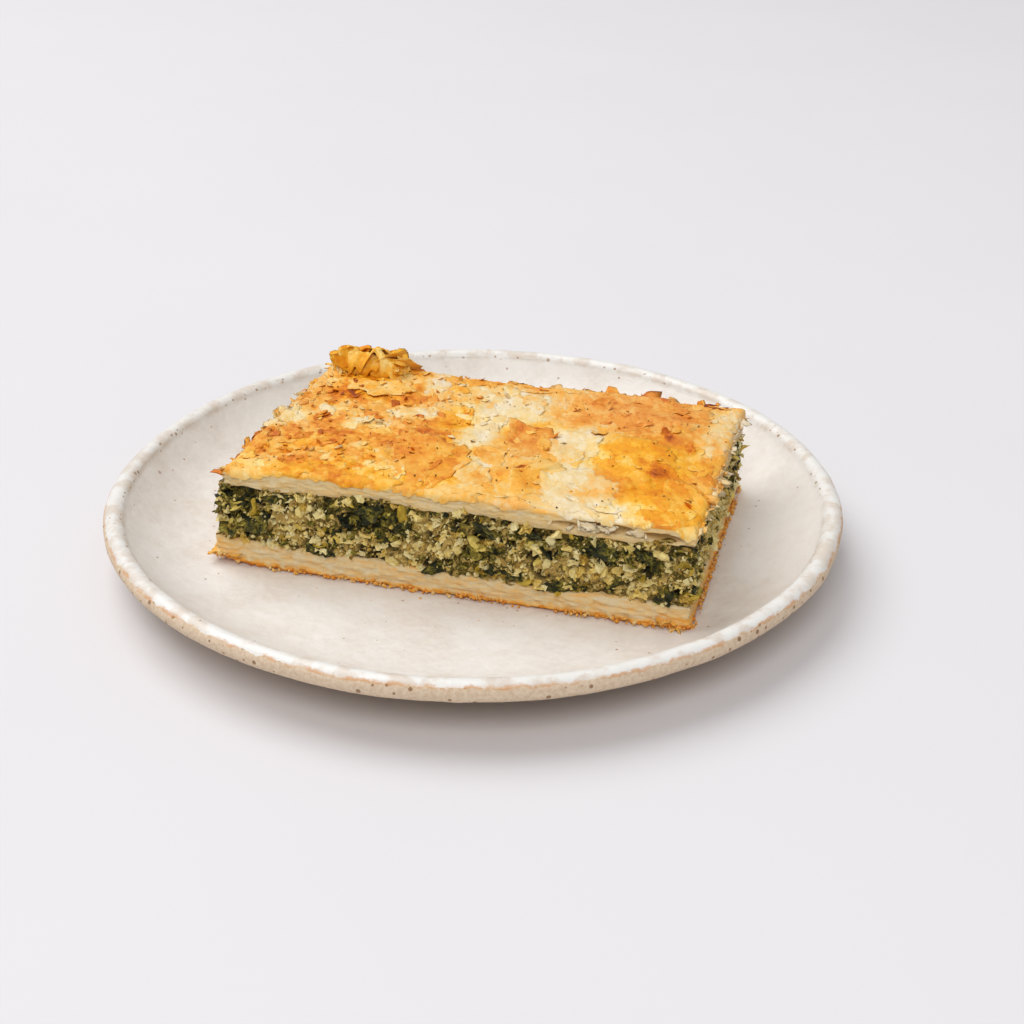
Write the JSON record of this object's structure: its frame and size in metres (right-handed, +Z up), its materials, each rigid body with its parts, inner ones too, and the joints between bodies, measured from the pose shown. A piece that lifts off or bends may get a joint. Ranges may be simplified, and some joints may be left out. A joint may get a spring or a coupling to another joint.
{
  "type": "spanakopita pie",
  "caption": "Cut slice of spinach and cheese pie: flaky baked top crust with a curled corner, chopped green filling and a pale bottom crust, on a small low stoneware plate with a thick lip.",
  "frame": {"origin": "centre of the plate's flat foot, on the surface that it stands on", "axes": "+Z up, +X along the slice's long side, -Y the way its best cut face looks"},
  "size_m": [0.2196, 0.2203, 0.0421],
  "materials": {
    "speckled_glaze": "satin",
    "pale_pastry": "matte",
    "spinach_and_cheese": "moist",
    "golden_pastry": "satin"
  },
  "bodies": {
    "root": {"plate": "speckled_glaze", "bottom_crust": "pale_pastry", "filling": "spinach_and_cheese", "top_crust": "golden_pastry"}
  },
  "joints": []
}
